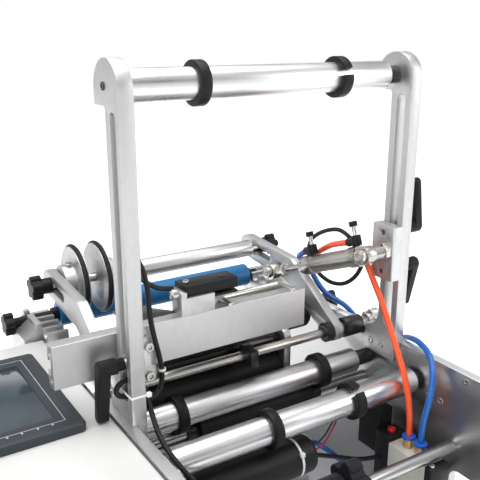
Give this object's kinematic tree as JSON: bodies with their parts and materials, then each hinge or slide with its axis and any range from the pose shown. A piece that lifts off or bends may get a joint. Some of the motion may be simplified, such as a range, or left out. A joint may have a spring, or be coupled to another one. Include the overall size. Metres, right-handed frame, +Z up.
{
  "type": "bottle labelling machine",
  "caption": "Tabletop machine that peels labels from a roll and wraps them on round bottles turned on cradle rollers under an air-driven press arm.",
  "frame": {"origin": "under the middle of the whole machine, on the table", "axes": "+X along the rollers towards the window side, +Y from the label roll side to the bottle cradle, +Z up"},
  "size_m": [0.5954, 0.47, 0.4803],
  "materials": {
    "plates": "brushed",
    "machined": "satin",
    "floor": "satin",
    "case": "powder coat",
    "boards": "matte",
    "dark_frame": "matte",
    "screen": "gloss",
    "black_plastic": "matte",
    "black_steel": "black oxide",
    "feet": "matte",
    "polished": "polished",
    "steel": "satin",
    "nickel": "nickel plate",
    "roller_rubber": "matte",
    "blue_roller": "satin",
    "ring_rubber": "matte",
    "orange_hose": "gloss",
    "blue_hose": "gloss",
    "cable": "matte",
    "valve": "satin",
    "red_button": "gloss",
    "belt": "matte"
  },
  "bodies": {
    "machine_frame": {"base_plate": "floor", "side_plate_left": "plates", "side_plate_right": "plates", "rubber_feet": "feet", "control_box": "case", "box_electronics": "boards", "hmi_bezel": "dark_frame", "hmi_screen": "screen", "post_left": "plates", "post_right": "plates", "cross_bars": "steel", "black_spacers": "black_plastic", "nip_plate": "machined", "drive_motor": "black_steel", "drive_belt": "belt", "bottle_roller_axle": "black_steel", "comb_bracket_left": "machined", "comb_bracket_right": "machined", "cylinder_block": "machined", "valve_body": "valve", "valve_coil": "black_plastic", "hose_orange": "orange_hose", "hose_blue": "blue_hose", "sensor_cable": "cable", "black_cables": "cable"},
    "power_switch": {"power_switch": "black_plastic"},
    "roll_tube": {"top_tube": "polished"},
    "roll_clip_left": {"roll_clip_left": "black_plastic"},
    "roll_clip_right": {"roll_clip_right": "black_plastic"},
    "guide_a": {"guide_roller_a": "polished"},
    "guide_b": {"guide_roller_b": "polished"},
    "rewind": {"rewind_shaft": "black_plastic"},
    "pinch": {"pinch_roller": "roller_rubber"},
    "traction": {"traction_roller": "roller_rubber"},
    "nip": {"nip_roller": "machined"},
    "motor_pulley": {"motor_pulley": "machined"},
    "bottle_drive": {"bottle_drive_roller": "roller_rubber"},
    "bottle_idler": {"bottle_roller": "blue_roller"},
    "press_arms": {"press_arm_left": "machined", "press_arm_right": "machined", "arm_shafts": "nickel", "pivot_collars": "black_steel"},
    "press_tube": {"press_tube": "polished"},
    "press_discs": {"press_discs": "machined", "disc_rings": "ring_rubber"},
    "arm_knob_left": {"arm_knob_left": "black_plastic"},
    "arm_knob_right": {"arm_knob_right": "black_plastic"},
    "air_cylinder": {"cylinder_barrel": "nickel", "flow_elbows": "black_plastic", "cylinder_cable": "cable"},
    "piston": {"piston_rod": "nickel"},
    "peel_beam": {"beam": "machined", "beam_hardware": "nickel", "label_guide": "black_steel", "label_sensor": "black_plastic"},
    "beam_clamp_lever": {"beam_clamp_lever": "black_plastic"},
    "post_lever_upper": {"post_lever_upper": "black_plastic"},
    "post_lever_lower": {"post_lever_lower": "black_plastic"},
    "valve_button": {"valve_button": "red_button"}
  },
  "joints": [
    {"name": "power_rocker", "type": "hinge", "parent": "machine_frame", "child": "power_switch", "pos_m": [-0.17765, 0.176, 0.07], "axis": [1, 0, 0], "range_deg": [-18, 0]},
    {"name": "roll_tube_spin", "type": "hinge", "parent": "machine_frame", "child": "roll_tube", "pos_m": [0.12565, 0.0025, 0.46], "axis": [1, 0, 0], "continuous": true},
    {"name": "roll_clip_left_slide", "type": "slide", "parent": "roll_tube", "child": "roll_clip_left", "axis": [1, 0, 0], "range_m": [-0.045, 0.055]},
    {"name": "roll_clip_right_slide", "type": "slide", "parent": "roll_tube", "child": "roll_clip_right", "axis": [1, 0, 0], "range_m": [-0.055, 0.04]},
    {"name": "guide_a_spin", "type": "hinge", "parent": "machine_frame", "child": "guide_a", "pos_m": [0.12565, 0.026, 0.1685], "axis": [1, 0, 0], "continuous": true},
    {"name": "pinch_spin", "type": "hinge", "parent": "machine_frame", "child": "pinch", "pos_m": [0.12565, 0.0315, 0.14329], "axis": [1, 0, 0], "continuous": true},
    {"name": "guide_b_spin", "type": "hinge", "parent": "machine_frame", "child": "guide_b", "pos_m": [0.12565, -0.04, 0.17], "axis": [1, 0, 0], "continuous": true},
    {"name": "rewind_spin", "type": "hinge", "parent": "machine_frame", "child": "rewind", "pos_m": [0.12565, -0.122, 0.159], "axis": [1, 0, 0], "continuous": true},
    {"name": "bottle_drive_spin", "type": "hinge", "parent": "machine_frame", "child": "bottle_drive", "pos_m": [0.12565, 0.117, 0.194], "axis": [1, 0, 0], "continuous": true},
    {"name": "traction_spin", "type": "hinge", "parent": "machine_frame", "child": "traction", "pos_m": [0.12565, 0.067, 0.1665], "axis": [1, 0, 0], "continuous": true},
    {"name": "nip_spin", "type": "hinge", "parent": "machine_frame", "child": "nip", "pos_m": [0.12565, 0.067, 0.1948], "axis": [1, 0, 0], "continuous": true},
    {"name": "motor_spin", "type": "hinge", "parent": "machine_frame", "child": "motor_pulley", "pos_m": [0.12565, 0.092, 0.088], "axis": [1, 0, 0], "continuous": true},
    {"name": "bottle_idler_spin", "type": "hinge", "parent": "machine_frame", "child": "bottle_idler", "pos_m": [0.12565, 0.221, 0.206], "axis": [1, 0, 0], "continuous": true},
    {"name": "press_arm_swing", "type": "hinge", "parent": "machine_frame", "child": "press_arms", "pos_m": [0.12565, 0.043, 0.1986], "axis": [1, 0, 0], "range_deg": [0, 14]},
    {"name": "press_tube_spin", "type": "hinge", "parent": "press_arms", "child": "press_tube", "pos_m": [0.12565, 0.191, 0.251], "axis": [1, 0, 0], "continuous": true},
    {"name": "press_disc_spin", "type": "hinge", "parent": "press_arms", "child": "press_discs", "pos_m": [0.12565, 0.191, 0.251], "axis": [1, 0, 0], "continuous": true},
    {"name": "arm_knob_left_turn", "type": "hinge", "parent": "press_arms", "child": "arm_knob_left", "pos_m": [-0.01335, 0.191, 0.251], "axis": [1, 0, 0], "continuous": true},
    {"name": "arm_knob_right_turn", "type": "hinge", "parent": "press_arms", "child": "arm_knob_right", "pos_m": [0.22965, 0.191, 0.251], "axis": [1, 0, 0], "continuous": true},
    {"name": "cylinder_tilt", "type": "hinge", "parent": "machine_frame", "child": "air_cylinder", "pos_m": [0.22265, -0.0133, 0.2982], "axis": [1, 0, 0], "range_deg": [0, 6.65], "deforming": ["hose_orange", "hose_blue"]},
    {"name": "piston_stroke", "type": "slide", "parent": "air_cylinder", "child": "piston", "axis": [0, 0.9284, -0.3715], "range_m": [-0.01913, 0]},
    {"name": "beam_height", "type": "slide", "parent": "machine_frame", "child": "peel_beam", "axis": [0, 0, 1], "range_m": [0, 0.04], "deforming": ["sensor_cable"]},
    {"name": "beam_lever_turn", "type": "hinge", "parent": "peel_beam", "child": "beam_clamp_lever", "pos_m": [-0.02035, -0.0075, 0.2495], "axis": [1, 0, 0], "range_deg": [-90, 6]},
    {"name": "upper_lever_turn", "type": "hinge", "parent": "machine_frame", "child": "post_lever_upper", "pos_m": [0.27165, -0.0075, 0.316], "axis": [1, 0, 0], "range_deg": [-60, 60]},
    {"name": "lower_lever_turn", "type": "hinge", "parent": "machine_frame", "child": "post_lever_lower", "pos_m": [0.27165, -0.0075, 0.277], "axis": [1, 0, 0], "range_deg": [-60, 60]},
    {"name": "valve_button_press", "type": "slide", "parent": "machine_frame", "child": "valve_button", "axis": [0, 0, -1], "range_m": [0, 0.002], "stiffness_N_per_m": 400, "springref_m": -0.0005}
  ],
  "couplings": [
    {"joint": "pinch_spin", "follows": "guide_a_spin", "ratio": -0.96154},
    {"joint": "traction_spin", "follows": "bottle_drive_spin", "ratio": 1},
    {"joint": "motor_spin", "follows": "bottle_drive_spin", "ratio": 1},
    {"joint": "nip_spin", "follows": "bottle_drive_spin", "ratio": -1.5455},
    {"joint": "cylinder_tilt", "follows": "press_arm_swing", "ratio": 0.43948},
    {"joint": "piston_stroke", "follows": "press_arm_swing", "m_per_rad": -0.076234}
  ]
}
